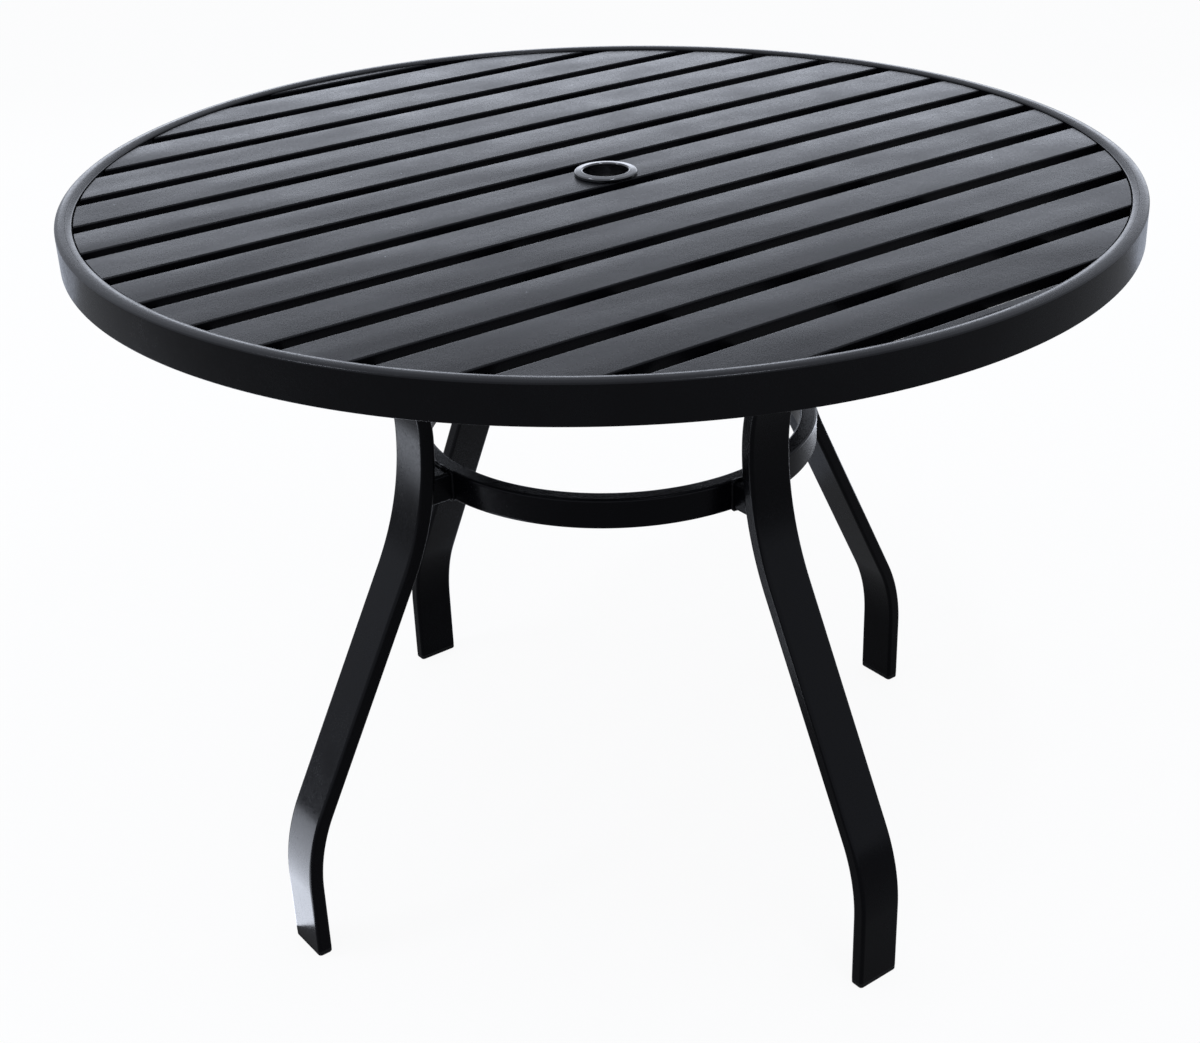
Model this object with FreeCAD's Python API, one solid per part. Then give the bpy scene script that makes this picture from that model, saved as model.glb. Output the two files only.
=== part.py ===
# Round slatted patio table with a centre hole for an umbrella pole.
# Millimetres, Z up, origin on the floor under the centre of the top.
# The slats run along X. The legs stand on the X and Y axes.

import FreeCAD
import Part
import math
import os

from FreeCAD import Vector

# Top
table_diameter = 1066.8
table_height = 762.0
rim_height = 38.1
rim_width = 16.0
rim_wall = 3.0
rim_outer_bevel = 3.0
rim_inner_bevel = 2.0
ledge_width = 22.0
slat_recess = 3.0

# Slats: as many on each side of the middle one, the last showing as a strip; the gaps follow
slat_width = 57.15
slats_each_side = 7
edge_strip = 11.075
slat_thickness = 12.0
slat_wall = 2.0
slat_bevel = 1.2
slat_end_gap = 1.5

# Rails under the slats
rail_offset = 190.0
rail_width = 25.0
rail_height = 20.0
rail_wall = 2.0

# Umbrella hole and its ring
umbrella_bore = 46.0
ring_wall = 2.4
ring_flange = 63.5
ring_lip = 5.0
ring_bevel = 1.6
ring_drop = 8.0
hub_length = 190.0
hub_width = 110.0
hub_thickness = 4.0
hub_corner = 14.0
hub_screw_x = 40.0

# Legs: flat tube with broken corners, bent in one upright plane
leg_width = 50.8
leg_depth = 16.0
leg_wall = 2.0
leg_corner = 3.0
foot_radius = 420.0
foot_straight = 83.0
foot_bend = 190.0
waist_radius = 245.0
waist_bend = 315.0
arm_bend = 187.0
landing_length = 56.0
landing_gap = 1.4

# Foot glides
glide_height = 6.0
glide_corner = 4.0
glide_bevel = 2.0
plug_height = 18.0
plug_clearance = 0.3

# Pads that carry the legs under the rim
pad_width = 70.0
pad_radial = 86.0
pad_thickness = 4.0
pad_corner = 8.0

# Hoop that ties the legs together, welded to them through four blocks
spacer_length = 20.0
hoop_depth = 18.0
hoop_height = 32.0
hoop_wall = 2.0
hoop_corner = 2.5
hoop_drop = 60.0
spacer_width = 34.0
spacer_height = 30.0

# Fasteners
bolt_diameter = 8.0
bolt_flats = 13.0
bolt_head_height = 5.3
bolt_inset = 8.0
bolt_pitch = 20.0
bolt_end = 6.0
screw_diameter = 4.2
screw_flats = 8.0
screw_head_height = 3.0
screw_end = 3.0

# Clearances
hole_clearance = 0.2
seat_clearance = 0.15
ring_clearance = 0.3
end_clearance = 1.0

# Levels and radii that follow from the sizes above
table_radius = table_diameter / 2
rim_bottom = table_height - rim_height
slat_top = table_height - slat_recess
slat_bottom = slat_top - slat_thickness
ledge_bottom = slat_bottom - rim_wall
rim_inner = table_radius - rim_width
ledge_inner = rim_inner - ledge_width
wall_inside = table_radius - rim_wall
slat_radius = rim_inner - slat_end_gap
slat_pitch = (slat_radius - edge_strip + slat_width / 2) / slats_each_side
rail_bottom = slat_bottom - rail_height
ring_outer = umbrella_bore / 2 + ring_wall
hub_hole = ring_outer + ring_clearance
hub_bottom = slat_bottom - hub_thickness
hub_screw_y = slat_pitch
pad_bottom = ledge_bottom - pad_thickness
landing_start = rim_inner - landing_gap - landing_length
landing_level = pad_bottom - leg_depth / 2
landing_bottom = pad_bottom - leg_depth
arm_tip = landing_start + landing_length
waist_bend_top = landing_level - arm_bend
hoop_level = waist_bend_top - hoop_drop
leg_inside = waist_radius - leg_depth / 2
hoop_radius = leg_inside - spacer_length
hoop_inside = hoop_radius - hoop_depth
slat_numbers = range(-slats_each_side, slats_each_side + 1)
leg_turns = {"right": 0, "rear": 90, "left": 180, "front": 270}
up = Vector(0, 0, 1)


def save(name, shape):
    shape.exportStep("parts/" + name + ".step")


def turned(shape, degrees):
    # copy of a shape turned about the table's upright axis
    copy = shape.copy()
    copy.rotate(Vector(0, 0, 0), up, degrees)
    return copy


def upright_cylinder(radius, bottom, top, x=0.0, y=0.0):
    return Part.makeCylinder(radius, top - bottom, Vector(x, y, bottom), up)


def block(x_low, x_high, y_low, y_high, z_low, z_high):
    size = Vector(x_high - x_low, y_high - y_low, z_high - z_low)
    return Part.makeBox(size.x, size.y, size.z, Vector(x_low, y_low, z_low))


def revolved(points):
    # solid of revolution about Z from a closed outline of (radius, height) points
    wire = Part.makePolygon([Vector(r, 0, z) for r, z in points + points[:1]])
    return Part.Face(wire).revolve(Vector(0, 0, 0), up, 360)


def circle_edges(solid, radius, level):
    # full circles of a turned solid at one radius and height
    found = []
    for edge in solid.Edges:
        curve = edge.Curve
        if not isinstance(curve, Part.Circle):
            continue
        same_radius = abs(curve.Radius - radius) < 0.01
        if same_radius and abs(curve.Center.z - level) < 0.01:
            found.append(edge)
    return found


def long_edges(solid, axis, test):
    # straight edges along an axis whose middle passes a test
    found = []
    for edge in solid.Edges:
        ends = [vertex.Point for vertex in edge.Vertexes]
        if len(ends) == 2 and abs((ends[1] - ends[0]).normalize().dot(axis)) > 0.999:
            if test((ends[0] + ends[1]) * 0.5):
                found.append(edge)
    return found


def make_rim():
    # edge profile: outer wall, top, short inner wall and the ledge for the slats
    outline = [
        (wall_inside, rim_bottom),
        (table_radius, rim_bottom),
        (table_radius, table_height),
        (rim_inner, table_height),
        (rim_inner, slat_bottom),
        (ledge_inner, slat_bottom),
        (ledge_inner, ledge_bottom),
        (rim_inner + rim_wall, ledge_bottom),
        (rim_inner + rim_wall, table_height - rim_wall),
        (wall_inside, table_height - rim_wall),
    ]
    rim = revolved(outline)
    rim = rim.makeChamfer(rim_outer_bevel, circle_edges(rim, table_radius, table_height))
    return rim.makeChamfer(rim_inner_bevel, circle_edges(rim, rim_inner, table_height))


def make_slat(number):
    # hollow flat bar across the top, its ends cut round just inside the rim
    middle = number * slat_pitch
    y_low = middle - slat_width / 2
    y_high = middle + slat_width / 2
    bar = block(-table_radius, table_radius, y_low, y_high, slat_bottom, slat_top)
    top_edges = long_edges(bar, Vector(1, 0, 0), lambda p: p.z > slat_top - 0.01)
    bar = bar.makeChamfer(slat_bevel, top_edges)
    hollow = block(
        -table_radius - 1, table_radius + 1,
        y_low + slat_wall, y_high - slat_wall,
        slat_bottom + slat_wall, slat_top - slat_wall,
    )
    bar = bar.cut(hollow)
    bar = bar.common(upright_cylinder(slat_radius, slat_bottom - 1, slat_top + 1))
    if number == 0:
        bar = bar.cut(upright_cylinder(hub_hole, slat_bottom - 1, slat_top + 1))
    for x, y in hub_screw_places():
        if abs(y - middle) < slat_width / 2:
            bar = bar.cut(screw_hole(x, y))
    return bar


def slat_name(number):
    # counted from the middle; the last on each side is a narrow strip that the rim cuts short
    if number == 0:
        return "slat_middle"
    return "slat_%s_%d" % ("front" if number < 0 else "rear", abs(number))


def hub_screw_places():
    return [(x, y) for x in (-hub_screw_x, hub_screw_x) for y in (-hub_screw_y, hub_screw_y)]


def screw_hole(x, y):
    radius = screw_diameter / 2 + hole_clearance
    return upright_cylinder(radius, hub_bottom - 1, slat_bottom + slat_wall + 0.5, x, y)


def hex_prism(flats, bottom, top, x=0.0, y=0.0):
    # upright six-sided bar, given the size across its flats
    corner = flats / math.sqrt(3)
    angles = [turn * math.pi / 3 for turn in range(7)]
    points = [Vector(x + corner * math.cos(a), y + corner * math.sin(a), bottom) for a in angles]
    return Part.Face(Part.makePolygon(points)).extrude(Vector(0, 0, top - bottom))


def make_bolt(flats, head_height, diameter, length):
    # hex-head bolt along Z, its head just below the origin
    head = hex_prism(flats, -head_height, 0)
    return head.fuse(upright_cylinder(diameter / 2, 0, length))


def make_hub_screws():
    screws = []
    for x, y in hub_screw_places():
        length = hub_thickness + slat_wall + screw_end
        screw = make_bolt(screw_flats, screw_head_height, screw_diameter, length)
        screw.translate(Vector(x, y, hub_bottom))
        screws.append(screw)
    return Part.makeCompound(screws)


def make_rail(side):
    # channel open downwards, its sides notched to slip under the ledge
    x_low = side * rail_offset - rail_width / 2
    x_high = side * rail_offset + rail_width / 2
    channel = block(x_low, x_high, -table_radius, table_radius, rail_bottom, slat_bottom)
    channel = channel.cut(block(
        x_low + rail_wall, x_high - rail_wall,
        -table_radius - 1, table_radius + 1,
        rail_bottom - 1, slat_bottom - rail_wall,
    ))
    reach = upright_cylinder(wall_inside - end_clearance, rail_bottom - 1, slat_bottom + 1)
    under_ledge = upright_cylinder(table_radius, ledge_bottom, slat_bottom + 1)
    under_ledge = under_ledge.cut(
        upright_cylinder(ledge_inner - seat_clearance, ledge_bottom, slat_bottom + 1))
    return channel.common(reach).cut(under_ledge)


def make_hub_plate():
    # stiffens the cut centre slat and is screwed to the slats on both sides of it
    plate = block(
        -hub_width / 2, hub_width / 2, -hub_length / 2, hub_length / 2, hub_bottom, slat_bottom)
    plate = plate.makeFillet(hub_corner, long_edges(plate, up, lambda p: True))
    plate = plate.cut(upright_cylinder(hub_hole, hub_bottom - 1, slat_bottom + 1))
    for x, y in hub_screw_places():
        plate = plate.cut(screw_hole(x, y))
    return plate


def make_umbrella_ring():
    # loose flanged sleeve for the pole: its flange rests on the slats
    bottom = hub_bottom - ring_drop
    ring = revolved([
        (umbrella_bore / 2, bottom),
        (ring_outer, bottom),
        (ring_outer, slat_top),
        (ring_flange / 2, slat_top),
        (ring_flange / 2, slat_top + ring_lip),
        (umbrella_bore / 2, slat_top + ring_lip),
    ])
    bevelled = circle_edges(ring, ring_flange / 2, slat_top + ring_lip)
    bevelled += circle_edges(ring, umbrella_bore / 2, slat_top + ring_lip)
    return ring.makeChamfer(ring_bevel, bevelled)


def leg_runs():
    # the leg's line from foot to arm end: (length, 0, 0) is straight and
    # (0, bend radius, new heading) is a bend; a heading is in radians from upright
    bends = foot_bend + waist_bend
    rise = waist_bend_top - foot_straight
    travel = foot_radius - waist_radius
    slope = math.sqrt((bends - travel) ** 2 + rise ** 2 - bends ** 2)
    lean = math.atan2(bends, slope) - math.atan2(bends - travel, rise)
    return [
        (foot_straight - glide_height, 0, 0),
        (0, foot_bend, -lean),
        (slope, 0, 0),
        (0, waist_bend, 0.0),
        (0, arm_bend, math.pi / 2),
        (arm_tip - waist_radius - arm_bend, 0, 0),
    ]


def leg_line(offset, run_out):
    # edges of the leg's line, moved outwards by an offset and longer at both ends
    runs = leg_runs()
    radius, level, heading = foot_radius, glide_height - run_out, 0.0
    edges = []

    def at(r, z, angle, shift):
        return Vector(r + shift * math.cos(angle), 0, z - shift * math.sin(angle))

    for index, (length, bend, new_heading) in enumerate(runs):
        if bend:
            side = math.copysign(1, new_heading - heading)
            centre_r = radius + side * bend * math.cos(heading)
            centre_z = level - side * bend * math.sin(heading)
            middle = (heading + new_heading) / 2
            shift = offset - side * bend
            ends = [at(centre_r, centre_z, a, shift) for a in (heading, middle, new_heading)]
            edges.append(Part.Arc(*ends).toShape())
            radius = centre_r - side * bend * math.cos(new_heading)
            level = centre_z + side * bend * math.sin(new_heading)
            heading = new_heading
        else:
            if index in (0, len(runs) - 1):
                length += run_out
            start = at(radius, level, heading, offset)
            radius += length * math.sin(heading)
            level += length * math.cos(heading)
            edges.append(Part.makeLine(start, at(radius, level, heading, offset)))
    return edges


def leg_bar(half_depth, width, run_out):
    # the leg's line given a depth and a width
    outer = leg_line(half_depth, run_out)
    inner = leg_line(-half_depth, run_out)
    foot = Part.makeLine(inner[0].Vertexes[0].Point, outer[0].Vertexes[0].Point)
    tip = Part.makeLine(outer[-1].Vertexes[1].Point, inner[-1].Vertexes[1].Point)
    wire = Part.Wire(Part.__sortEdges__(outer + [tip] + inner + [foot]))
    bar = Part.Face(wire).extrude(Vector(0, width, 0))
    bar.translate(Vector(0, -width / 2, 0))
    return bar


def make_leg():
    # bent tube with broken long edges, on the X axis
    leg = leg_bar(leg_depth / 2, leg_width, 0.0)
    corners = []
    for edge in leg.Edges:
        box = edge.BoundBox
        along = box.YLength < 0.01
        at_foot = box.ZMax < glide_height + 0.01
        at_tip = box.XMin > arm_tip - 0.01
        if along and not at_foot and not at_tip:
            corners.append(edge)
    leg = leg.makeChamfer(leg_corner, corners)
    leg = leg.cut(leg_bar(leg_depth / 2 - leg_wall, leg_width - 2 * leg_wall, 1.0))
    for x in leg_bolt_places():
        leg = leg.cut(bolt_hole(x, landing_bottom - 1, pad_bottom + 1))
    return leg


def leg_bolt_places():
    first = landing_start + bolt_inset
    return [first, first + bolt_pitch]


def bolt_hole(x, bottom, top):
    return upright_cylinder(bolt_diameter / 2 + hole_clearance, bottom, top, x)


def make_glide():
    # foot cap with a plug that pushes into the tube
    half_depth = leg_depth / 2
    half_width = leg_width / 2
    cap = block(
        foot_radius - half_depth, foot_radius + half_depth,
        -half_width, half_width, 0, glide_height)
    cap = cap.makeFillet(glide_corner, long_edges(cap, up, lambda p: True))
    sole = [edge for edge in cap.Edges if edge.BoundBox.ZMax < 0.01]
    cap = cap.makeChamfer(glide_bevel, sole)
    half_depth -= leg_wall + plug_clearance
    half_width -= leg_wall + plug_clearance
    plug = block(
        foot_radius - half_depth, foot_radius + half_depth,
        -half_width, half_width, glide_height, glide_height + plug_height)
    return cap.fuse(plug).removeSplitter()


def make_pad():
    # stepped block under the ledge and the slats, tapped for the leg's two bolts
    outer = wall_inside - seat_clearance
    inner = arm_tip - pad_radial
    pad = block(inner, table_radius, -pad_width / 2, pad_width / 2, pad_bottom, slat_bottom)
    corners = long_edges(pad, up, lambda p: p.x < inner + 1)
    pad = pad.makeFillet(pad_corner, corners)
    pad = pad.common(upright_cylinder(outer, pad_bottom, slat_bottom))
    step = upright_cylinder(table_radius, ledge_bottom, slat_bottom + 1)
    step = step.cut(upright_cylinder(ledge_inner - seat_clearance, ledge_bottom, slat_bottom + 1))
    pad = pad.cut(step)
    for x in leg_bolt_places():
        pad = pad.cut(bolt_hole(x, pad_bottom - 1, pad_bottom + bolt_end))
    return pad


def make_leg_bolts():
    length = leg_depth + bolt_end - seat_clearance
    bolts = []
    for turn in leg_turns.values():
        for x in leg_bolt_places():
            bolt = make_bolt(bolt_flats, bolt_head_height, bolt_diameter, length)
            bolt.translate(Vector(x, 0, landing_bottom))
            bolts.append(turned(bolt, turn))
    return Part.makeCompound(bolts)


def make_hoop():
    # flat tube rolled to a ring and welded closed
    half_height = hoop_height / 2
    low = hoop_level - half_height
    high = hoop_level + half_height
    hoop = revolved([
        (hoop_inside, low), (hoop_radius, low), (hoop_radius, high), (hoop_inside, high)])
    corners = []
    for radius in (hoop_inside, hoop_radius):
        for level in (low, high):
            corners += circle_edges(hoop, radius, level)
    hoop = hoop.makeChamfer(hoop_corner, corners)
    return hoop.cut(revolved([
        (hoop_inside + hoop_wall, low + hoop_wall), (hoop_radius - hoop_wall, low + hoop_wall),
        (hoop_radius - hoop_wall, high - hoop_wall), (hoop_inside + hoop_wall, high - hoop_wall)]))


def make_spacer():
    # block welded between the hoop and a leg, hollowed to fit both
    spacer = block(
        hoop_inside, waist_radius + leg_depth, -spacer_width / 2, spacer_width / 2,
        hoop_level - spacer_height / 2, hoop_level + spacer_height / 2)
    spacer = spacer.makeChamfer(
        hoop_corner, long_edges(spacer, Vector(1, 0, 0), lambda p: True))
    bend_centre = Vector(waist_radius + waist_bend, -spacer_width, waist_bend_top)
    leg_face = Part.makeCylinder(
        waist_bend + leg_depth / 2 + seat_clearance, 2 * spacer_width, bend_centre, Vector(0, 1, 0))
    hoop_face = upright_cylinder(hoop_radius + seat_clearance, 0, table_height)
    return spacer.cut(hoop_face).cut(leg_face)


def build():
    os.makedirs("parts", exist_ok=True)
    save("rim_frame", make_rim())
    for number in slat_numbers:
        save(slat_name(number), make_slat(number))
    save("cross_rail_left", make_rail(-1))
    save("cross_rail_right", make_rail(1))
    save("umbrella_plate", make_hub_plate())
    save("umbrella_ring", make_umbrella_ring())
    save("umbrella_plate_screws", make_hub_screws())
    leg, glide, pad, spacer = make_leg(), make_glide(), make_pad(), make_spacer()
    for side, turn in leg_turns.items():
        save("leg_" + side, turned(leg, turn))
        save("foot_glide_" + side, turned(glide, turn))
        save("leg_pad_" + side, turned(pad, turn))
        save("hoop_spacer_" + side, turned(spacer, turn))
    save("leg_bolts", make_leg_bolts())
    save("brace_hoop", make_hoop())


build()
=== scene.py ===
# Round slatted patio table, satin black, with a flanged ring for an umbrella pole.
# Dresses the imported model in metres: slats along X, legs on the X and Y axes, floor at zero.

import math

import bmesh
import bpy
import numpy as np
from mathutils import Matrix, Vector


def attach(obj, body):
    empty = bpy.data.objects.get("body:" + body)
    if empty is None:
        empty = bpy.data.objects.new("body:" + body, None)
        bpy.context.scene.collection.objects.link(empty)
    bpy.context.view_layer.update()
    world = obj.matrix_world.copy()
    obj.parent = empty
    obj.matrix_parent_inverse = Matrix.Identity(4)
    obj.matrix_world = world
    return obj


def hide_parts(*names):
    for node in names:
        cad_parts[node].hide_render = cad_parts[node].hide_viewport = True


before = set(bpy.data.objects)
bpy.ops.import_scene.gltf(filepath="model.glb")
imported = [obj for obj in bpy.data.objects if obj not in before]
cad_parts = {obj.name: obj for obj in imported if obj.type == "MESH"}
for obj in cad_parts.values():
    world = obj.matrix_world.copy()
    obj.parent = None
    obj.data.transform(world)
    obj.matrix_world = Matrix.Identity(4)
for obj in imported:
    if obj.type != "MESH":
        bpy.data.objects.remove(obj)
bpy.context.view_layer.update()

mm = 0.001
print("frame loaded:", len(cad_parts), "nodes")


def rectangle(halfX, halfY):
    # corners of a rectangle about the origin, walked anticlockwise
    return [(-halfX, -halfY), (halfX, -halfY), (halfX, halfY), (-halfX, halfY)]


def roundedOutline(corners, radii, arcSteps=5, hold=0.35 * mm):
    # closed outline with round corners: each arc turns about the point that is one radius away from
    # both sides, and a holding point on each side of it keeps the flats flat under smooth shading
    corners = np.asarray(corners, float)
    radii = np.broadcast_to(np.asarray(radii, float), (len(corners),))
    back = np.roll(corners, 1, 0) - corners
    ahead = np.roll(corners, -1, 0) - corners
    back = back / np.linalg.norm(back, axis=1, keepdims=True)
    ahead = ahead / np.linalg.norm(ahead, axis=1, keepdims=True)
    half = np.arccos(np.clip((back * ahead).sum(1), -1, 1)) / 2
    reach = radii / np.tan(half)
    middle = back + ahead
    middle = middle / np.linalg.norm(middle, axis=1, keepdims=True)
    centre = corners + middle * (radii / np.sin(half))[:, None]
    first = corners + back * reach[:, None] - centre
    last = corners + ahead * reach[:, None] - centre
    sweep = (math.pi - 2 * half)[:, None, None]
    share = np.linspace(0, 1, arcSteps + 1)[None, :, None]
    arc = np.sin((1 - share) * sweep) * first[:, None] + np.sin(share * sweep) * last[:, None]
    arc = arc / np.sin(sweep) + centre[:, None]
    before = corners + back * (reach + hold)[:, None]
    after = corners + ahead * (reach + hold)[:, None]
    return np.concatenate([before[:, None], arc, after[:, None]], 1).reshape(-1, 2)


def refined(outline, spacing):
    # the same closed outline with extra points, so that no run is longer than the spacing
    closed = np.vstack([outline, outline[:1]])
    length = np.concatenate([[0], np.cumsum(np.linalg.norm(np.diff(closed, axis=0), axis=1))])
    wanted = np.concatenate([length, np.arange(0, length[-1], spacing)])
    wanted = np.unique(np.round(wanted, 6))[:-1]
    return np.stack([np.interp(wanted, length, closed[:, axis]) for axis in (0, 1)], 1)


def gridFaces(rows, columns, closeRows, closeColumns):
    # four-sided faces of a grid of points, counted row by row
    r = np.arange(rows if closeRows else rows - 1)[:, None]
    c = np.arange(columns if closeColumns else columns - 1)[None, :]
    below, right = (r + 1) % rows, (c + 1) % columns
    quads = [r * columns + c, r * columns + right, below * columns + right, below * columns + c]
    return np.stack(quads, -1).reshape(-1, 4).tolist()


def stackFaces(rows, columns):
    # the same for a stack of closed loops, with a lid on its first and its last loop
    lids = [list(range(columns)), list(range((rows - 1) * columns, rows * columns))]
    return gridFaces(rows, columns, False, True) + lids


def joined(parts):
    # several (points, faces) pairs as one
    points, faces, count = [], [], 0
    for somePoints, someFaces in parts:
        flat = somePoints.reshape(-1, 3)
        points.append(flat)
        faces.extend([corner + count for corner in face] for face in someFaces)
        count += len(flat)
    return np.concatenate(points), faces


def addPiece(name, points, faces, smoothAngle=40):
    # mesh object from arrays: doubles merged, faces turned outwards, smooth but for its sharp edges
    mesh = bpy.data.meshes.new(name)
    mesh.from_pydata(points.reshape(-1, 3).tolist(), [], faces)
    work = bmesh.new()
    work.from_mesh(mesh)
    bmesh.ops.remove_doubles(work, verts=work.verts, dist=1e-6)
    bmesh.ops.dissolve_degenerate(work, edges=work.edges, dist=1e-7)
    bmesh.ops.recalc_face_normals(work, faces=work.faces)
    work.to_mesh(mesh)
    work.free()
    mesh.shade_smooth()
    mesh.set_sharp_from_angle(angle=math.radians(smoothAngle))
    piece = bpy.data.objects.new(name, mesh)
    bpy.context.scene.collection.objects.link(piece)
    return piece


def finished(piece, material, slotName, body, *nodes):
    # gives a piece its finish and the body it rides on, and hides the nodes that it stands for; slotName is
    # not used
    piece.data.materials.append(material)
    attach(piece, body)
    if nodes:
        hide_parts(*nodes)
    return piece


def spun(outline, turns):
    # outline of (radius, height) turned about Z: x = r cos a, y = r sin a, z = h
    angle = np.arange(turns)[:, None] * 2 * math.pi / turns
    r, h = outline[None, :, 0], outline[None, :, 1]
    points = np.stack([r * np.cos(angle), r * np.sin(angle), h + 0 * angle], -1)
    return points, gridFaces(turns, len(outline), True, True)


def turnedAbout(points, degrees):
    # points turned about the upright axis: x cos a - y sin a, x sin a + y cos a, and z as it is
    a = math.radians(degrees)
    turn = np.array([[math.cos(a), -math.sin(a), 0], [math.sin(a), math.cos(a), 0], [0, 0, 1]])
    return points @ turn.T


def linearColour(hexCode):
    # sRGB hex to the linear numbers that the shaders use: v / 12.92 near black, and elsewhere
    # (v + 0.055) / 1.055 to the power of 2.4
    value = np.array([int(hexCode[i:i + 2], 16) / 255 for i in (1, 3, 5)])
    value = np.where(value <= 0.04045, value / 12.92, ((value + 0.055) / 1.055) ** 2.4)
    return (*value.tolist(), 1.0)


def addNode(tree, kind, inputs=None, **settings):
    # one node with its settings; an input is a number, a colour or another node's output
    node = tree.nodes.new(kind)
    for key, value in settings.items():
        setattr(node, key, value)
    for socket, value in (inputs or {}).items():
        if isinstance(value, bpy.types.NodeSocket):
            tree.links.new(value, node.inputs[socket])
        else:
            node.inputs[socket].default_value = value
    return node


def newMaterial(name):
    # an empty material and its tree of nodes
    material = bpy.data.materials.new(name)
    material.use_nodes = True
    material.node_tree.nodes.clear()
    return material, material.node_tree


satinBlack = {
    "low": "#040406", "high": "#08080b",  # the coat's own black, where it is thicker and thinner
    "dust": "#a9adb3",
    "grain": 2.4 * mm,       # leathery orange-peel cells; real ones are half that and don't show
    "grainHeight": 1.0 * mm,
    "swell": 11 * mm,        # slow waves left as the powder melts and flows
    "swellHeight": 1.4 * mm,
    "cloud": 70 * mm,        # changes of gloss from the spray gun's passes
    "patchy": (0.7, 1.3),    # the sum of grain and cloud where the coat is glossiest and dullest
    "shinier": 0.06, "duller": 0.08,
    "wave": 80 * mm,         # bars are never quite flat: long shallow hollows that bend the sheen
    "stretch": (0.4, 1, 1),  # the hollows are longer along the bar
    "speck": 11 * mm,        # spacing of the cells of which a few hold a grain of dust
    "speckSize": 0.08,       # radius of the largest grain, as a share of that spacing
}


def powderCoat(name, roughness, ior, relief, wavy=0.0, dusty=0.0):
    # baked polyester powder: near black, with a wide soft sheen broken up by a fine leathery grain
    look = satinBlack
    material, tree = newMaterial(name)
    place = addNode(tree, "ShaderNodeTexCoord").outputs["Object"]
    grain, swell, cloud = (
        addNode(tree, "ShaderNodeTexNoise", {
            "Vector": place, "Scale": 1 / look[key], "Detail": detail, "Roughness": 0.55}).outputs["Fac"]
        for key, detail in (("grain", 2.0), ("swell", 1.0), ("cloud", 4.0)))
    patchy = addNode(tree, "ShaderNodeMath", {0: grain, 1: cloud}, operation="ADD").outputs[0]
    gloss = addNode(tree, "ShaderNodeMapRange", {
        "Value": patchy, "From Min": look["patchy"][0], "From Max": look["patchy"][1],
        "To Min": roughness - look["shinier"], "To Max": roughness + look["duller"]}).outputs["Result"]
    fine = addNode(tree, "ShaderNodeBump", {
        "Strength": relief, "Distance": look["grainHeight"], "Height": grain}).outputs["Normal"]
    bump = addNode(tree, "ShaderNodeBump", {
        "Strength": relief, "Distance": look["swellHeight"],
        "Height": swell, "Normal": fine}).outputs["Normal"]
    if wavy:
        stretched = addNode(tree, "ShaderNodeMapping", {
            "Vector": place, "Scale": look["stretch"]}).outputs["Vector"]
        wave = addNode(tree, "ShaderNodeTexNoise", {
            "Vector": stretched, "Scale": 1 / look["wave"], "Detail": 1.0, "Roughness": 0.5}).outputs["Fac"]
        bump = addNode(tree, "ShaderNodeBump", {
            "Strength": 1.0, "Distance": wavy, "Height": wave, "Normal": bump}).outputs["Normal"]
    tint = addNode(tree, "ShaderNodeMix", {
        "Factor": cloud, "A": linearColour(look["low"]), "B": linearColour(look["high"])},
        data_type="RGBA").outputs["Result"]
    if dusty:
        cells = addNode(tree, "ShaderNodeTexVoronoi", {"Vector": place, "Scale": 1 / look["speck"]})
        pick = addNode(tree, "ShaderNodeSeparateColor", {"Color": cells.outputs["Color"]}).outputs["Red"]
        size = addNode(tree, "ShaderNodeMapRange", {
            "Value": pick, "From Min": 1 - dusty, "From Max": 1.0,
            "To Min": 0.0, "To Max": look["speckSize"]}).outputs["Result"]
        isSpeck = addNode(tree, "ShaderNodeMath", {
            0: cells.outputs["Distance"], 1: size}, operation="LESS_THAN").outputs[0]
        tint = addNode(tree, "ShaderNodeMix", {
            "Factor": isSpeck, "A": tint, "B": linearColour(look["dust"])},
            data_type="RGBA").outputs["Result"]
    shader = addNode(tree, "ShaderNodeBsdfPrincipled", {
        "Base Color": tint, "Roughness": gloss, "IOR": ior, "Normal": bump})
    addNode(tree, "ShaderNodeOutputMaterial", {"Surface": shader.outputs["BSDF"]})
    return material


mouldedBlack = {
    "flow": 6 * mm,          # marks left where the melt ran into the mould
    "flowHeight": 0.4 * mm,
    "patchy": (0.3, 0.7),    # the flow pattern where the skin is glossiest and dullest
    "shinier": 0.03, "duller": 0.05,
}


def mouldedPlastic(name, low, high, roughness, ior, ripple):
    # injection-moulded and black all through: its skin is as smooth as the mould, with faint flow marks
    look = mouldedBlack
    material, tree = newMaterial(name)
    place = addNode(tree, "ShaderNodeTexCoord").outputs["Object"]
    flow = addNode(tree, "ShaderNodeTexNoise", {
        "Vector": place, "Scale": 1 / look["flow"], "Detail": 3.0, "Roughness": 0.5}).outputs["Fac"]
    gloss = addNode(tree, "ShaderNodeMapRange", {
        "Value": flow, "From Min": look["patchy"][0], "From Max": look["patchy"][1],
        "To Min": roughness - look["shinier"], "To Max": roughness + look["duller"]}).outputs["Result"]
    tint = addNode(tree, "ShaderNodeMix", {
        "Factor": flow, "A": linearColour(low), "B": linearColour(high)},
        data_type="RGBA").outputs["Result"]
    bump = addNode(tree, "ShaderNodeBump", {
        "Strength": ripple, "Distance": look["flowHeight"], "Height": flow}).outputs["Normal"]
    shader = addNode(tree, "ShaderNodeBsdfPrincipled", {
        "Base Color": tint, "Roughness": gloss, "IOR": ior, "Normal": bump})
    addNode(tree, "ShaderNodeOutputMaterial", {"Surface": shader.outputs["BSDF"]})
    return material


platedBlack = {
    "low": "#1b1b1d", "high": "#3a3a3d",
    "rub": 2.5 * mm,         # size of the rubbed patches
    "patchy": (0.3, 0.7), "shiny": 0.3, "dull": 0.5, "metallic": 0.8,
}


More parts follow.
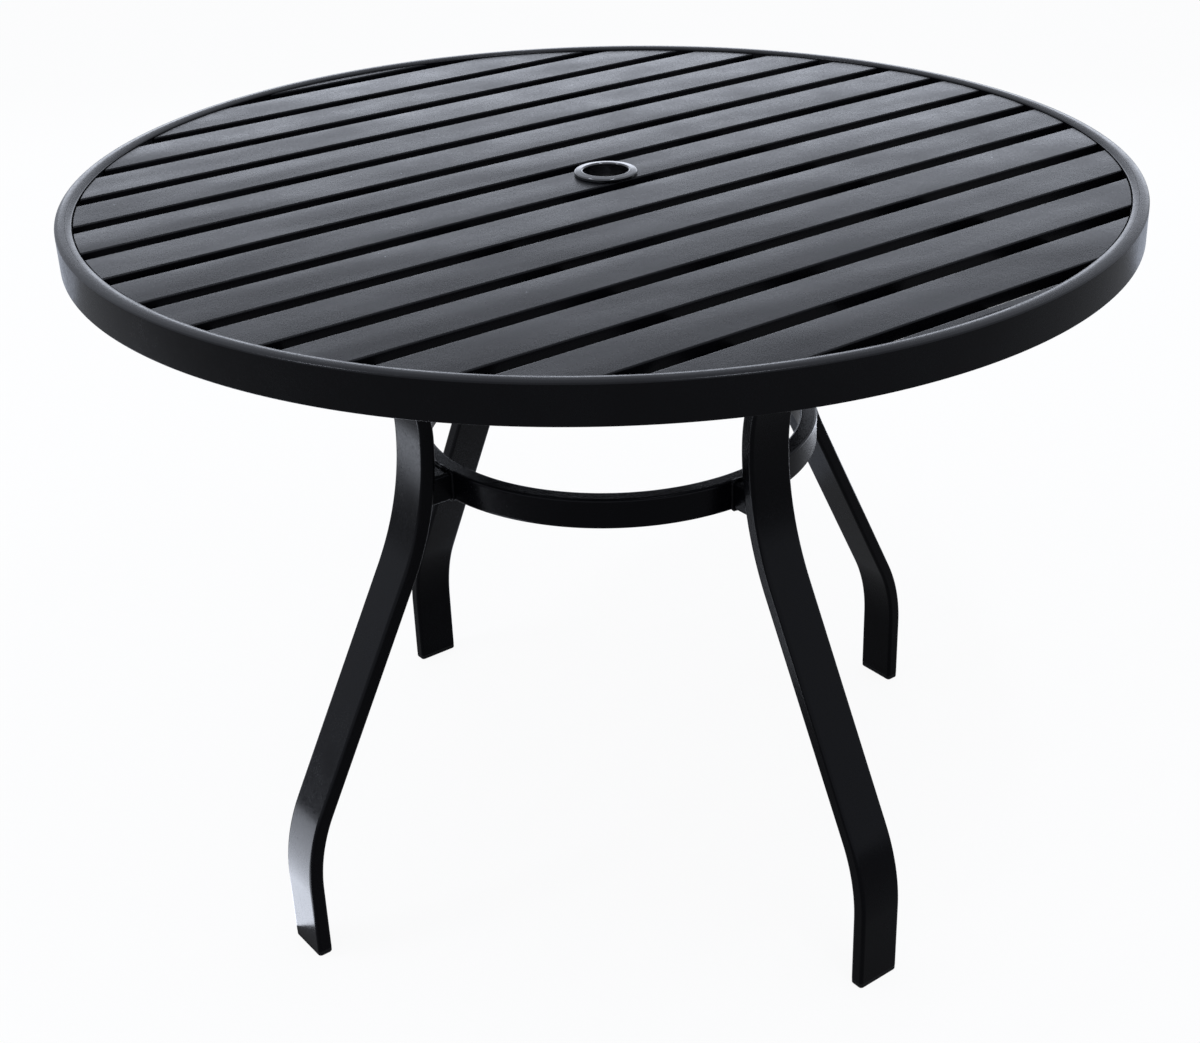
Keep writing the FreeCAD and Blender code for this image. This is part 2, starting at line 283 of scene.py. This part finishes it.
def blackZinc(name):
    # plated steel: a thin dark film over metal, duller where a spanner has rubbed it
    look = platedBlack
    material, tree = newMaterial(name)
    place = addNode(tree, "ShaderNodeTexCoord").outputs["Object"]
    rub = addNode(tree, "ShaderNodeTexNoise", {
        "Vector": place, "Scale": 1 / look["rub"], "Detail": 4.0, "Roughness": 0.6}).outputs["Fac"]
    gloss = addNode(tree, "ShaderNodeMapRange", {
        "Value": rub, "From Min": look["patchy"][0], "From Max": look["patchy"][1],
        "To Min": look["shiny"], "To Max": look["dull"]}).outputs["Result"]
    tint = addNode(tree, "ShaderNodeMix", {
        "Factor": rub, "A": linearColour(look["low"]), "B": linearColour(look["high"])},
        data_type="RGBA").outputs["Result"]
    shader = addNode(tree, "ShaderNodeBsdfPrincipled", {
        "Base Color": tint, "Roughness": gloss, "Metallic": look["metallic"]})
    addNode(tree, "ShaderNodeOutputMaterial", {"Surface": shader.outputs["BSDF"]})
    return material


# one coat as it lies on four kinds of part: the slats' sheen is softer than the rim's and the legs', and
# the underside, which the spray reaches least, is the dullest
slatCoat = powderCoat("satinPowderCoatSlats", roughness=0.28, ior=1.22, relief=0.05,
                      wavy=2.4 * mm, dusty=0.05)
rimCoat = powderCoat("satinPowderCoatRim", roughness=0.22, ior=1.28, relief=0.04, dusty=0.02)
legCoat = powderCoat("satinPowderCoatLegs", roughness=0.21, ior=1.2, relief=0.015)
underCoat = powderCoat("satinPowderCoatUnderside", roughness=0.40, ior=1.2, relief=0.05)
glidePlastic = mouldedPlastic("mouldedPolyethyleneGlides", "#08080a", "#0d0d0f", 0.5, 1.3, 0.15)
ringPlastic = mouldedPlastic("mouldedAcetalPoleRing", "#060608", "#0a0a0c", 0.16, 1.8, 0.05)
boltZinc = blackZinc("blackZincPlatedSteel")
print("finishes made")


# the crown's pairs are a share of the rim's width, from outside, and the fall below its top there
rimSizes = {
    "outer": 533.2 * mm, "top": 762 * mm, "bottom": 723.9 * mm, "width": 16 * mm, "wall": 3 * mm,
    "ledgeWidth": 22 * mm, "ledgeTop": 747 * mm, "outerRound": 1.8 * mm, "innerRound": 1.6 * mm,
    "crown": ((0, 1.6 * mm), (0.25, 0.4 * mm), (0.5, 0), (0.75, 0.4 * mm), (1, 1.9 * mm)),
    "crownRound": 16 * mm, "bottomRound": 1 * mm, "small": 0.6 * mm, "turns": 288,
}


def makeRim():
    # the rolled edge profile turned about Z: outer wall, crowned top, short inner wall and the slats' ledge
    s = rimSizes
    outer, inner, small = s["outer"], s["outer"] - s["width"], s["small"]
    wallInside, topInside = outer - s["wall"], s["top"] - s["wall"]
    ledgeIn, ledgeBottom = inner - s["ledgeWidth"], s["ledgeTop"] - s["wall"]
    crown = [(outer - share * s["width"], s["top"] - drop) for share, drop in s["crown"]]
    corners = [(wallInside, s["bottom"]), (outer, s["bottom"])] + crown + [
        (inner, s["ledgeTop"]), (ledgeIn, s["ledgeTop"]), (ledgeIn, ledgeBottom),
        (inner + s["wall"], ledgeBottom), (inner + s["wall"], topInside), (wallInside, topInside)]
    radii = [small, s["bottomRound"], s["outerRound"]] + [s["crownRound"]] * 3
    radii += [s["innerRound"]] + [small] * 6
    piece = addPiece("rim", *spun(roundedOutline(corners, radii, arcSteps=7), s["turns"]))
    finished(piece, rimCoat, "powder_coated_aluminium", "table", "rim_frame")


slatSizes = {
    "width": 57.15 * mm, "pitch": 76.2 * mm, "thick": 12 * mm, "wall": 2 * mm, "top": 759 * mm,
    "reach": 515.9 * mm, "topRound": 1.6 * mm, "underRound": 0.8 * mm, "innerRound": 0.5 * mm,
    "hole": 25.7 * mm, "eachSide": 7, "crown": 0.3 * mm,
    "crownAbove": 5 * mm,    # the crown acts on what lies higher than this over the bar's underside
    "tip": 0.2 * mm,         # the outermost strips' edge stops this short of the circle that cuts the ends
    "spacing": 2.5 * mm, "rings": 9,  # the mesh's longest step round the bar, and its loops along each half
}


def slatName(number):
    # counted from the middle one, for the piece and for its node
    if number == 0:
        return "slatMiddle", "slat_middle"
    side = "front" if number < 0 else "rear"
    return "slat%s%d" % (side.title(), abs(number)), "slat_%s_%d" % (side, abs(number))


def makeSlat(number):
    # hollow bar: its outline (y, z) is carried along X to the ends x = sqrt(R² - y²), which follow the
    # rim; the middle bar starts at the edge of the pole hole, x = sqrt(r² - y²), and has two halves;
    # the top is a little crowned: it falls by c (2 y / w)² from the bar's middle to its edges
    s = slatSizes
    middle, limit = number * s["pitch"], s["reach"] - s["tip"]
    low, high = max(middle - s["width"] / 2, -limit), min(middle + s["width"] / 2, limit)
    crown = s["crown"] if abs(number) < s["eachSide"] else 0
    share = np.linspace(0, 1, s["rings"])[:, None]
    parts = []
    for side in (-1, 1):
        shells = []
        for inset in (0, s["wall"]):
            under, top = s["top"] - s["thick"] + inset, s["top"] - inset
            corners = [(low + inset, under), (high - inset, under), (high - inset, top), (low + inset, top)]
            radii = s["innerRound"] if inset else np.repeat([s["underRound"], s["topRound"]], 2)
            y, z = refined(roundedOutline(corners, radii, hold=0.25 * mm), s["spacing"]).T
            z = z - crown * (z > under + s["crownAbove"]) * (2 * (y - middle) / s["width"]) ** 2
            end = np.sqrt(s["reach"] ** 2 - y ** 2)
            start = np.sqrt(np.maximum(s["hole"] ** 2 - y ** 2, 0)) if number == 0 else 0 * y
            x = side * (start + share * (end - start))
            shells.append(np.stack([x, y + 0 * x, z + 0 * x], -1))
            parts.append((shells[-1], gridFaces(*x.shape, False, True)))
        parts.append(wallEnd(shells[0][-1], shells[1][-1]))
        if number == 0:
            parts.append(wallEnd(shells[0][0], shells[1][0]))
    piece = addPiece(slatName(number)[0], *joined(parts))
    finished(piece, slatCoat, "powder_coated_aluminium", "table", slatName(number)[1])


def wallEnd(outerLoop, innerLoop):
    # the cut face of a tube's wall, between two closed loops that are matched by their share of a turn;
    # faces on the plane x = 0, where the two halves of a bar meet, are left out
    def turn(loop):
        low, high = loop[:, 1:].min(0), loop[:, 1:].max(0)
        y, z = ((loop[:, 1:] - (low + high) / 2) / (high - low)).T
        return np.arctan2(z, y)

    apart = np.angle(np.exp(1j * (turn(outerLoop)[:, None] - turn(innerLoop)[None, :])))
    matched = np.abs(apart).argmin(1)
    here = np.arange(len(outerLoop))
    ahead = np.roll(here, -1)
    points = np.concatenate([outerLoop, innerLoop[matched]])
    faces = np.stack([here, ahead, ahead + len(here), here + len(here)], 1)
    kept = (np.abs(points[faces][:, :, 0]) > 1e-9).any(1)
    return points, faces[kept].tolist()


ringSizes = {
    "bore": 23 * mm, "sleeve": 25.4 * mm, "flange": 31.75 * mm, "seat": 759 * mm, "top": 763.9 * mm,
    "bottom": 735 * mm, "fall": 0.9 * mm, "turns": 96,
    "rounds": (0.5, 0.8, 0.4, 0.7, 1.6, 1.6),  # millimetres, from the bottom of the bore and outwards
}


def makeRing():
    # flanged sleeve turned about Z; the flange falls a little towards its edge
    s = ringSizes
    corners = [
        (s["bore"], s["bottom"]), (s["sleeve"], s["bottom"]), (s["sleeve"], s["seat"]),
        (s["flange"], s["seat"]), (s["flange"], s["top"] - s["fall"]), (s["bore"], s["top"])]
    radii = np.array(s["rounds"]) * mm
    piece = addPiece("poleRing", *spun(roundedOutline(corners, radii, arcSteps=8), s["turns"]))
    finished(piece, ringPlastic, "ring_plastic", "pole_ring", "umbrella_ring")


makeRim()
for number in range(-slatSizes["eachSide"], slatSizes["eachSide"] + 1):
    makeSlat(number)
makeRing()
print("top made")


# footRadius, waistRadius and armTip are distances from the table's axis, and each Bend is a bend's radius
legSizes = {
    "width": 50.8 * mm, "depth": 16 * mm, "wall": 2 * mm, "corner": 3.6 * mm, "glide": 6 * mm,
    "footRadius": 420 * mm, "footStraight": 83 * mm, "footBend": 190 * mm,
    "waistRadius": 245 * mm, "waistBend": 315 * mm, "waistTop": 545 * mm,
    "armBend": 187 * mm, "armTip": 516 * mm, "spacing": 5 * mm,
}
legTurns = {"right": 0, "rear": 90, "left": 180, "front": 270}


def legLine():
    # the heading from upright changes evenly with length in a bend and holds on a straight;
    # each short step is then a chord in the middle heading, and the chords add up to the places;
    # the slope is the crossed tangent of the two bends' circles, as long as the root of (the distance
    # between their centres)² - (the sum of their radii)²
    s = legSizes
    bends, rise = s["footBend"] + s["waistBend"], s["waistTop"] - s["footStraight"]
    travel = s["footRadius"] - s["waistRadius"]
    slope = math.sqrt((bends - travel) ** 2 + rise ** 2 - bends ** 2)
    lean = math.atan2(bends, slope) - math.atan2(bends - travel, rise)
    runs = [
        s["footStraight"] - s["glide"], s["footBend"] * lean, slope, s["waistBend"] * lean,
        s["armBend"] * math.pi / 2, s["armTip"] - s["waistRadius"] - s["armBend"]]
    knots = np.concatenate([[0], np.cumsum(runs)])
    headings = [0, 0, -lean, -lean, 0, math.pi / 2, math.pi / 2]
    along = np.unique(np.round(np.concatenate([knots, np.arange(0, knots[-1], s["spacing"])]), 6))
    heading = np.interp(along, knots, headings)
    turn, middle = np.diff(heading), (heading[1:] + heading[:-1]) / 2
    chord = np.diff(along) * np.sinc(turn / 2 / math.pi)
    radius = s["footRadius"] + np.concatenate([[0], np.cumsum(chord * np.sin(middle))])
    level = s["glide"] + np.concatenate([[0], np.cumsum(chord * np.cos(middle))])
    return radius, level, heading


def legShell(inset, corner):
    # the leg's section carried along its line: place + depth outwards from the line + width along Y
    s = legSizes
    radius, level, heading = (value[:, None] for value in legLine())
    outline = rectangle(s["depth"] / 2 - inset, s["width"] / 2 - inset)
    section = roundedOutline(outline, corner, arcSteps=6)
    depth, width = section.T
    x = radius + depth * np.cos(heading)
    return np.stack([x, width + 0 * x, level - depth * np.sin(heading)], -1)


def makeLegs():
    # outer and inner wall of the tube, joined by the cut faces at the foot and at the arm's tip
    s = legSizes
    outer, inner = legShell(0, s["corner"]), legShell(s["wall"], s["corner"] - s["wall"])
    rows, columns = outer.shape[:2]
    parts = [(shell, gridFaces(rows, columns, False, True)) for shell in (outer, inner)]
    parts += [(np.stack([outer[row], inner[row]]), gridFaces(2, columns, False, True)) for row in (0, -1)]
    points, faces = joined(parts)
    for side, degrees in legTurns.items():
        piece = addPiece("leg" + side.title(), turnedAbout(points, degrees), faces)
        finished(piece, legCoat, "powder_coated_aluminium", "table", "leg_" + side)


glideSizes = {
    "corner": 4 * mm, "bevel": 2 * mm, "edge": 0.4 * mm, "plug": 18 * mm, "plugInset": 2.3 * mm,
    "plugRoot": 0.3 * mm, "plugBevel": 1 * mm, "plugCorner": 0.8 * mm,
}


def makeGlides():
    # cap and plug as one stack of rounded rectangles, each level with its own inset from the leg's size:
    # a quarter round at the floor, the cap's upright side, the step in to the plug, and its bevelled end
    s, leg = glideSizes, legSizes
    sweep = np.linspace(0, math.pi / 2, 7)
    inset = np.concatenate([
        s["bevel"] * (1 - np.sin(sweep)), [0, s["edge"]],
        s["plugInset"] + np.array([-s["plugRoot"], 0, 0, s["plugBevel"]])])
    level = np.concatenate([
        s["bevel"] * (1 - np.cos(sweep)), leg["glide"] + np.array([-s["edge"], 0, 0, s["plugRoot"]]),
        leg["glide"] + s["plug"] + np.array([-s["plugBevel"], 0])])
    loops = [roundedOutline(
        rectangle(leg["depth"] / 2 - gap, leg["width"] / 2 - gap),
        max(s["corner"] - gap, s["plugCorner"]), arcSteps=6, hold=0.3 * mm) for gap in inset]
    x, y = np.moveaxis(np.stack(loops), -1, 0)
    points = np.stack([leg["footRadius"] + x, y, level[:, None] + 0 * x], -1)
    for side, degrees in legTurns.items():
        piece = addPiece("glide" + side.title(), turnedAbout(points, degrees), stackFaces(*x.shape))
        finished(piece, glidePlastic, "glide_plastic", "table", "foot_glide_" + side)


makeLegs()
makeGlides()
print("legs made")


hoopSizes = {
    "inside": 199 * mm, "outside": 217 * mm, "height": 32 * mm, "level": 485 * mm, "corner": 3 * mm,
    "blockWidth": 34 * mm, "blockHeight": 30 * mm, "blockCorner": 3 * mm, "turns": 240,
    "blockGap": 0.1 * mm,    # between a block's end and what it is welded to
    "spacing": 2.2 * mm, "blockLoops": 5,
}


def makeHoop():
    # flat tube rolled to a ring and closed: its section turned about Z
    s = hoopSizes
    centre = np.array([(s["inside"] + s["outside"]) / 2, s["level"]])
    outline = rectangle((s["outside"] - s["inside"]) / 2, s["height"] / 2)
    section = roundedOutline(outline, s["corner"], arcSteps=7)
    piece = addPiece("braceHoop", *spun(section + centre, s["turns"]))
    finished(piece, legCoat, "powder_coated_aluminium", "table", "brace_hoop")


def blockFaces(inset):
    # where the block's outline (y, z) meets the hoop, x = sqrt(R² - y²), and the bent leg's inner
    # face, x = c - sqrt(B² - (h - z)²) about the centre of the bend
    s, leg = hoopSizes, legSizes
    outline = roundedOutline(
        rectangle(s["blockWidth"] / 2 - inset, s["blockHeight"] / 2 - inset), s["blockCorner"], arcSteps=6)
    y, z = refined(outline, s["spacing"]).T
    z = z + s["level"]
    bend = leg["waistBend"] + leg["depth"] / 2
    atHoop = np.sqrt(s["outside"] ** 2 - y ** 2)
    atLeg = leg["waistRadius"] + leg["waistBend"] - np.sqrt(bend ** 2 - (leg["waistTop"] - z) ** 2)
    return atHoop, atLeg, y, z


def makeBlocks():
    # the blocks between hoop and legs: one outline carried along X from the hoop's face to the leg's
    atHoop, atLeg, y, z = blockFaces(0)
    gap = hoopSizes["blockGap"]
    share = np.linspace(0, 1, hoopSizes["blockLoops"])[:, None]
    x = atHoop + gap + share * (atLeg - atHoop - 2 * gap)
    points = np.stack([x, y + 0 * x, z + 0 * x], -1)
    for side, degrees in legTurns.items():
        piece = addPiece("hoopBlock" + side.title(), turnedAbout(points, degrees), stackFaces(*x.shape))
        finished(piece, legCoat, "powder_coated_aluminium", "table", "hoop_spacer_" + side)


# ripple is the length of one ripple, depth its share of the radius, and blunt keeps an open bead's tip
# from shrinking to a point
weldSizes = {
    "blockBead": 2.3 * mm, "slatBead": 1.8 * mm, "railBead": 1.6 * mm, "ripple": 2.6 * mm, "depth": 0.12,
    "railTack": 18 * mm, "railX": (177.5 * mm, 202.5 * mm), "slatInset": 5 * mm,
    "outset": 0.3 * mm, "blunt": 0.02, "sides": 10, "slatSteps": 60, "tackSteps": 24,
}


def bead(path, sideways, upward, radius, closed):
    # weld bead: a circle about each place of the path, place + r (cos a · sideways + sin a · upward); its
    # radius swells and shrinks with the length along the path and, on an open bead, tapers at both ends
    s = weldSizes
    steps = np.linalg.norm(np.diff(path, axis=0), axis=1)
    along = np.concatenate([[0], np.cumsum(steps)])[:, None]
    swell = radius * (1 - s["depth"] + 2 * s["depth"] * np.abs(np.sin(math.pi * along / s["ripple"])))
    if not closed:
        fromEnd = np.minimum(along, along[-1] - along) / radius
        swell = swell * np.sqrt(np.clip(fromEnd, s["blunt"], 1))
    angle = np.arange(s["sides"])[None, :] * 2 * math.pi / s["sides"]
    out = np.cos(angle)[..., None] * sideways[:, None] + np.sin(angle)[..., None] * upward[:, None]
    points = path[:, None] + swell[..., None] * out
    rows, columns = points.shape[:2]
    return points, gridFaces(rows, columns, True, True) if closed else stackFaces(rows, columns)


def loopOutward(y, z):
    # unit direction out of a closed loop in the YZ plane, at right angles to the chord through each point
    dy, dz = np.roll(y, -1) - np.roll(y, 1), np.roll(z, -1) - np.roll(z, 1)
    length = np.hypot(dy, dz)
    return np.stack([0 * dy, dz / length, -dy / length], -1)


def makeBlockWelds():
    # one closed bead round each block where it meets the hoop, and one where it meets the leg
    atHoop, atLeg, y, z = blockFaces(-weldSizes["outset"])
    outward = loopOutward(y, z)
    along = np.tile([1.0, 0, 0], (len(y), 1))
    radius = weldSizes["blockBead"]
    parts = [bead(np.stack([atHoop, y, z], -1), along, outward, radius, True),
             bead(np.stack([atLeg, y, z], -1), along, outward, radius, True)]
    points, faces = joined(parts)
    for side, degrees in legTurns.items():
        piece = addPiece("hoopWeld" + side.title(), turnedAbout(points, degrees), faces, smoothAngle=60)
        finished(piece, legCoat, "powder_coated_aluminium", "table")


def makeSlatWelds():
    # under the top: along the ledge's inner edge below the ends of the full slats, and beside the rails
    # below each of them
    s, rim, slat = weldSizes, rimSizes, slatSizes
    ledge, level = rim["outer"] - rim["width"] - rim["ledgeWidth"], rim["ledgeTop"]
    parts = []
    for number in range(1 - slat["eachSide"], slat["eachSide"]):
        middle, half = number * slat["pitch"], slat["width"] / 2 - s["slatInset"]
        first, last = math.asin((middle - half) / ledge), math.asin((middle + half) / ledge)
        angle = np.linspace(first, last, s["slatSteps"])
        radial = np.stack([np.cos(angle), np.sin(angle), 0 * angle], -1)
        path = ledge * radial + [0, 0, level]
        down = np.tile([0, 0, -1.0], (len(angle), 1))
        tackY = np.linspace(middle - s["railTack"] / 2, middle + s["railTack"] / 2, s["tackSteps"])
        for mirror in ([1, 1, 1], [-1, 1, 1]):
            parts.append(bead(path * mirror, radial * mirror, down, s["slatBead"], False))
            for x in s["railX"]:
                tack = np.stack([x + 0 * tackY, tackY, level + 0 * tackY], -1)
                parts.append(bead(tack * mirror, 0 * tack + [1.0, 0, 0], 0 * tack + [0, 0, -1.0],
                                  s["railBead"], False))
    piece = addPiece("slatWelds", *joined(parts), smoothAngle=60)
    finished(piece, underCoat, "powder_coated_aluminium", "table")


makeHoop()
makeBlocks()
makeBlockWelds()
makeSlatWelds()
print("hoop and welds made")


boltSizes = {
    "flats": 13 * mm, "head": 5.3 * mm, "shank": 4 * mm, "length": 21.8 * mm, "level": 724 * mm,
    "places": ((468 * mm, 0), (488 * mm, 0)),
}
screwSizes = {
    "flats": 8 * mm, "head": 3 * mm, "shank": 2.1 * mm, "length": 8.9 * mm, "level": 743 * mm,
    "places": ((40 * mm, 76.2 * mm), (40 * mm, -76.2 * mm), (-40 * mm, 76.2 * mm), (-40 * mm, -76.2 * mm)),
}


# a hexagon head from its seat down: how far down, as a share of its height, and the radius of the cone
# that cuts it there, as a share of half its flats
headShape = {
    "drop": (0, 0.04, 0.7, 0.8, 0.88, 0.95, 1, 1),
    "cone": (0.93, 1.2, 1.2, 1.14, 1.08, 1.01, 0.93, 0.8),
    "turns": 72,
}


def hexHead(s):
    # radius by angle and height, the least of the six flats, f / cos(angle from the flat's middle), and
    # the chamfer's cone; the shank above and the head below its seat are one stack of loops
    flat, turns = s["flats"] / 2, headShape["turns"]
    angle = np.arange(turns)[None, :] * 2 * math.pi / turns
    hexagon = flat / np.cos((angle + math.pi / 6) % (math.pi / 3) - math.pi / 6)
    drop = s["head"] * np.array([0, 0, *headShape["drop"]])
    cone = np.concatenate([[s["shank"]] * 2, flat * np.array(headShape["cone"])])
    lift = np.concatenate([[s["length"]], np.zeros(len(cone) - 1)])
    radius = np.minimum(hexagon, cone[:, None])
    z = s["level"] + lift[:, None] - drop[:, None] + 0 * radius
    return np.stack([radius * np.cos(angle), radius * np.sin(angle), z], -1)


def makeFasteners():
    # one bolt copied to its places and turned to each leg, and one screw copied to its places
    head = hexHead(boltSizes)
    faces = stackFaces(*head.shape[:2])
    bolts = [(turnedAbout(head + [x, y, 0], degrees), faces)
             for degrees in legTurns.values() for x, y in boltSizes["places"]]
    piece = addPiece("legBolts", *joined(bolts), smoothAngle=25)
    finished(piece, boltZinc, "black_hardware", "table", "leg_bolts")
    head = hexHead(screwSizes)
    screws = [(head + [x, y, 0], faces) for x, y in screwSizes["places"]]
    piece = addPiece("plateScrews", *joined(screws), smoothAngle=25)
    finished(piece, boltZinc, "black_hardware", "table", "umbrella_plate_screws")


keptNodes = ["cross_rail_left", "cross_rail_right", "umbrella_plate"]
keptNodes += ["leg_pad_" + side for side in legTurns]


def finishKeptNodes():
    # rails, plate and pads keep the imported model's own shape and get the underside's coat
    for name in keptNodes:
        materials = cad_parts[name].data.materials
        if not materials:
            materials.append(underCoat)
        for index in range(len(materials)):
            materials[index] = underCoat


makeFasteners()
finishKeptNodes()
print("fasteners made, kept nodes finished")


stageSizes = {
    "width": 14.0,
    "floor": "#868686",      # the floor's paint, but for the camera, which sees it white
    "glow": 0.92,            # how much of it is plain white to the camera
    "mirrored": 0.12,        # and to the coat's reflections
    "fill": 0.72,            # strength of the world's light on the table
    "white": "#ffffff", "cool": "#ecf2ff", "card": "#f4f6fa",
}


def flatSheet(name, width, depth, material):
    # level rectangle about the origin
    mesh = bpy.data.meshes.new(name)
    mesh.from_pydata([(x, y, 0) for x, y in rectangle(width / 2, depth / 2)], [], [(0, 1, 2, 3)])
    mesh.materials.append(material)
    sheet = bpy.data.objects.new(name, mesh)
    bpy.context.scene.collection.objects.link(sheet)
    return sheet


def makeFloor():
    # pale seamless floor: the camera sees it nearly white, and the table's shadow stays on it; what the
    # coat and the plastic mirror of it is dimmer, which keeps the upright faces nearly black
    white = linearColour(stageSizes["white"])
    material, tree = newMaterial("paleStudioFloor")
    path = addNode(tree, "ShaderNodeLightPath").outputs
    camera = path["Is Camera Ray"]
    pale = addNode(tree, "ShaderNodeMix", {
        "Factor": camera, "A": linearColour(stageSizes["floor"]), "B": white},
        data_type="RGBA").outputs["Result"]
    paint = addNode(tree, "ShaderNodeBsdfDiffuse", {"Color": pale})
    glow = addNode(tree, "ShaderNodeEmission", {"Color": white, "Strength": 1.0})
    direct = addNode(tree, "ShaderNodeMath", {
        0: camera, 1: stageSizes["glow"]}, operation="MULTIPLY").outputs[0]
    mirror = addNode(tree, "ShaderNodeMath", {
        0: path["Is Glossy Ray"], 1: path["Is Transmission Ray"]}, operation="MAXIMUM").outputs[0]
    seen = addNode(tree, "ShaderNodeMath", {
        0: mirror, 1: stageSizes["mirrored"], 2: direct}, operation="MULTIPLY_ADD").outputs[0]
    both = addNode(tree, "ShaderNodeMixShader", {0: seen, 1: paint.outputs[0], 2: glow.outputs[0]})
    addNode(tree, "ShaderNodeOutputMaterial", {"Surface": both.outputs[0]})
    floor = flatSheet("studioFloor", stageSizes["width"], stageSizes["width"], material)


cards = {
    "whiteCardBehind": {"place": (1.5, 2.0), "size": (5.0, 2.2)},  # brightens both ends of the rim
    "whiteCardNear": {"place": (0.24, 0.54), "size": (0.44, 0.4)},  # and the rear right leg's inside
}


def makeCards():
    # white cards laid 1 mm over the floor, square to the camera; only the coat's reflections show them
    material, tree = newMaterial("whiteCard")
    paint = addNode(tree, "ShaderNodeBsdfDiffuse", {"Color": linearColour(stageSizes["card"])})
    addNode(tree, "ShaderNodeOutputMaterial", {"Surface": paint.outputs[0]})
    for name, s in cards.items():
        card = flatSheet(name, *s["size"], material)
        card.location = (*s["place"], 1 * mm)
        card.rotation_euler.z = math.radians(-cameraSizes["turn"])
        card.visible_camera = card.visible_diffuse = card.visible_shadow = False


def makeWorld():
    # white to the camera, a faintly cool white in reflections, and a little less for the light it casts
    world = bpy.data.worlds.new("studioWorld")
    world.use_nodes = True
    tree = world.node_tree
    tree.nodes.clear()
    path = addNode(tree, "ShaderNodeLightPath")
    seen = path.outputs["Is Camera Ray"]
    for output in ("Is Glossy Ray", "Is Transmission Ray"):
        seen = addNode(tree, "ShaderNodeMath", {
            0: seen, 1: path.outputs[output]}, operation="MAXIMUM").outputs[0]
    strength = addNode(tree, "ShaderNodeMapRange", {
        "Value": seen, "To Min": stageSizes["fill"], "To Max": 1.0}).outputs["Result"]
    colour = addNode(tree, "ShaderNodeMix", {
        "Factor": path.outputs["Is Camera Ray"],
        "A": linearColour(stageSizes["cool"]), "B": linearColour(stageSizes["white"])},
        data_type="RGBA").outputs["Result"]
    background = addNode(tree, "ShaderNodeBackground", {"Color": colour, "Strength": strength})
    addNode(tree, "ShaderNodeOutputWorld", {"Surface": background.outputs[0]})
    bpy.context.scene.world = world


# two strips over the table give the slats their bands, a softbox lights them from behind, and three
# panels just above the floor show in the front left leg's foot and top and in the hoop's right end
lamps = {
    "stripLeft": {"place": (-1.38, 0.65, 2.6), "aim": (-0.6, 0.93, 0.75), "size": (0.16, 1.0), "power": 14},
    "stripMiddle": {"place": (0.02, -0.95, 2.6), "aim": (0.32, -0.55, 0.7), "size": (0.16, 1), "power": 12},
    "softboxBehind": {"place": (2.0, 2.4, 1.3), "aim": (0, 0, 0.8), "size": (4.2, 0.6), "power": 18},
    "panelLeft": {"place": (-0.73, 0.3, 0.03), "aim": (-0.7, 0.26, 1), "size": (0.25, 0.8), "power": 4.4},
    "panelBack": {"place": (-0.95, 1.08, 0.02), "aim": (-0.95, 1.08, 1), "size": (0.4, 0.45), "power": 2.4},
    "panelRight": {"place": (1.25, 0.3, 0.03), "aim": (1.24, 0.33, 1), "size": (0.4, 1.1), "power": 5},
}


def makeLamps():
    # area lamps in watts, each turned from its place towards its aim
    for name, s in lamps.items():
        light = bpy.data.lights.new(name, "AREA")
        light.shape, light.energy = "RECTANGLE", s["power"]
        light.color = linearColour(stageSizes["cool"])[:3]
        light.size, light.size_y = s["size"]
        lamp = bpy.data.objects.new(name, light)
        bpy.context.scene.collection.objects.link(lamp)
        lamp.location = s["place"]
        ahead = Vector(s["aim"]) - Vector(s["place"])
        lamp.rotation_euler = ahead.to_track_quat("-Z", "Y").to_euler()
        lamp.visible_camera = False


cameraSizes = {
    "focal": 1876.58, "pictureWidth": 1200, "shift": -80,  # pixels
    "sensor": 36,                                          # millimetres
    "elevation": 16.9605, "turn": 36.4947, "yaw": 1.9459, "pitch": 10.6392, "roll": 1.5314,  # degrees
    "unit": 533.4 * mm, "distance": 3.59816,               # radius of the top, and how many of them away
    "aim": 762 * mm, "farthest": 50,
}


def turnMatrix(axis, degrees):
    # turn about X, Y or Z as an array
    return np.array(Matrix.Rotation(math.radians(degrees), 3, axis))


def makeCamera():
    # looks from a distance and elevation towards the middle of the top, then is turned a little
    # by yaw, pitch and roll about its own axes
    s = cameraSizes
    elevation = math.radians(s["elevation"])
    place = np.array([0, -math.cos(elevation), math.sin(elevation)]) * s["distance"]
    forward = -place / np.linalg.norm(place)
    right = np.cross(forward, [0, 0, 1])
    right = right / np.linalg.norm(right)
    axes = np.array([right, np.cross(right, forward), -forward])
    axes = turnMatrix("Z", s["roll"]) @ turnMatrix("X", s["pitch"]) @ turnMatrix("Y", s["yaw"]) @ axes
    toTable = turnMatrix("Z", -s["turn"])
    place = toTable @ place * s["unit"] + [0, 0, s["aim"]]
    data = bpy.data.cameras.new("photoCamera")
    data.sensor_fit, data.sensor_width = "HORIZONTAL", s["sensor"]
    data.lens = s["focal"] * s["sensor"] / s["pictureWidth"]
    data.shift_x = s["shift"] / s["pictureWidth"]
    data.clip_end = s["farthest"]
    camera = bpy.data.objects.new("photoCamera", data)
    bpy.context.scene.collection.objects.link(camera)
    matrix = Matrix((toTable @ axes.T).tolist()).to_4x4()
    matrix.translation = Vector(place.tolist())
    camera.matrix_world = matrix
    bpy.context.scene.camera = camera


makeFloor()
makeCards()
makeWorld()
makeLamps()
makeCamera()
bpy.context.scene.view_settings.view_transform = "Standard"
print("stage, light and camera made")
